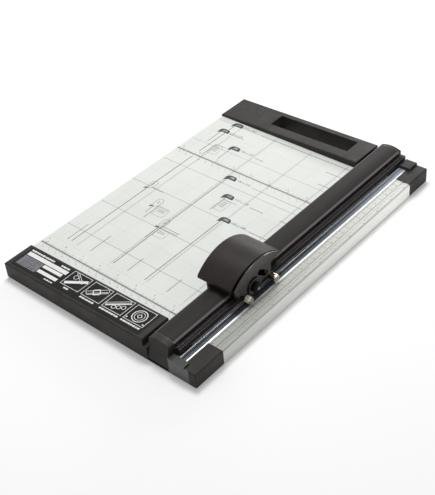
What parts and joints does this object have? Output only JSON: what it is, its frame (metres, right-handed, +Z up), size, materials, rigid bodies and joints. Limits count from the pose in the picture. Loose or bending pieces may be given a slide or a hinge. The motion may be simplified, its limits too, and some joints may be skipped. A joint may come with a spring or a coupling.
{
  "type": "rotary card cutter",
  "caption": "Desk cutter for cards: printed bed, spring-lifted guide rail, and a sliding carriage with a press handle and a round blade.",
  "frame": {"origin": "middle of the footprint, on the surface that the feet stand on", "axes": "+X towards the cutting side, +Y away from the user along the cut, +Z up"},
  "size_m": [0.2606, 0.386, 0.0554],
  "materials": {
    "painted_steel": "satin black paint",
    "deck_aluminium": "mill finish",
    "deck_print": "matt printed film",
    "bright_aluminium": "bright",
    "mat_plastic": "smooth, slightly worn",
    "bed_aluminium": "satin anodised",
    "black_moulding": "fine grain",
    "smoky_plastic": "smoky translucent",
    "steel_hardware": "zinc plated",
    "spring_steel": "spring wire",
    "foot_rubber": "matt",
    "label_film": "printed film",
    "rail_black": "black anodised, semi-gloss",
    "rail_end_plastic": "fine grain",
    "grip_rubber": "matt",
    "stop_plastic": "smooth",
    "carriage_plastic": "fine grain",
    "cheek_plastic": "semi-gloss",
    "pad_acetal": "smooth",
    "pin_steel": "turned",
    "handle_plastic": "semi-gloss",
    "push_pad_plastic": "smooth",
    "carrier_plastic": "smooth",
    "axle_steel": "turned",
    "blade_steel": "dark coated, ground edge",
    "hub_plastic": "smooth",
    "ring_steel": "turned",
    "front_roller_steel": "fine knurl",
    "rear_roller_steel": "polished with a bright knurled end"
  },
  "bodies": {
    "base_unit": {"bottom_plate": "painted_steel", "deck_panel": "deck_aluminium", "deck_sheet": "deck_print", "mat_channel": "bright_aluminium", "cutting_mat": "mat_plastic", "side_bed": "bed_aluminium", "front_cap": "black_moulding", "rear_cap": "black_moulding", "front_corner_cap": "black_moulding", "rear_corner_cap": "black_moulding", "mat_front_clip": "smoky_plastic", "mat_rear_clamp": "black_moulding", "mat_clamp_screw": "steel_hardware", "front_rail_socket": "black_moulding", "rear_rail_socket": "black_moulding", "front_rail_spring": "spring_steel", "rear_rail_spring": "spring_steel", "rubber_feet": "foot_rubber", "base_screws": "steel_hardware", "label_plate": "label_film"},
    "rail_unit": {"guide_rail": "rail_black", "rail_grip_strip": "grip_rubber", "rail_front_block": "rail_end_plastic", "rail_rear_block": "rail_end_plastic", "front_guide_post": "steel_hardware", "rear_guide_post": "steel_hardware", "carriage_stops": "stop_plastic"},
    "carriage_unit": {"carriage_body": "carriage_plastic", "carriage_cheek": "cheek_plastic", "slide_pads": "pad_acetal", "carriage_screws": "steel_hardware", "front_roller_pin": "pin_steel", "rear_roller_pin": "pin_steel", "handle_pin": "steel_hardware", "blade_spring": "spring_steel"},
    "handle_unit": {"handle_shell": "handle_plastic", "handle_press_pad": "push_pad_plastic"},
    "blade_unit": {"blade_carrier": "carrier_plastic", "blade_axle": "axle_steel", "blade_backing": "axle_steel", "axle_clip": "axle_steel"},
    "blade_wheel": {"cutting_blade": "blade_steel", "blade_hub": "hub_plastic", "blade_ring": "ring_steel"},
    "front_wheel": {"front_roller": "front_roller_steel"},
    "rear_wheel": {"rear_roller": "rear_roller_steel"}
  },
  "joints": [
    {"name": "rail_press", "type": "slide", "parent": "base_unit", "child": "rail_unit", "axis": [0, 0, -1], "range_m": [0, 0.001], "stiffness_N_per_m": 2000, "springref_m": -0.005, "deforming": ["front_rail_spring", "rear_rail_spring"]},
    {"name": "carriage_slide", "type": "slide", "parent": "rail_unit", "child": "carriage_unit", "axis": [0, 1, 0], "range_m": [-0.082, 0.2225]},
    {"name": "handle_press", "type": "hinge", "parent": "carriage_unit", "child": "handle_unit", "pos_m": [0.08345, -0.0414, 0.038], "axis": [1, 0, 0], "range_deg": [0, 1.85], "stiffness_Nm_per_rad": 0.6, "springref_deg": -6.88},
    {"name": "blade_plunge", "type": "slide", "parent": "carriage_unit", "child": "blade_unit", "axis": [0, 0, -1], "range_m": [0, 0.0012], "deforming": ["blade_spring"]},
    {"name": "blade_spin", "type": "hinge", "parent": "blade_unit", "child": "blade_wheel", "pos_m": [0.10675, -0.0784, 0.0282], "axis": [1, 0, 0], "continuous": true},
    {"name": "front_roller_spin", "type": "hinge", "parent": "carriage_unit", "child": "front_wheel", "pos_m": [0.10895, -0.0915, 0.0225], "axis": [1, 0, 0], "continuous": true},
    {"name": "rear_roller_spin", "type": "hinge", "parent": "carriage_unit", "child": "rear_wheel", "pos_m": [0.10895, -0.0523, 0.0225], "axis": [1, 0, 0], "continuous": true}
  ],
  "couplings": [
    {"joint": "blade_plunge", "follows": "handle_press", "m_per_rad": 0.037}
  ]
}
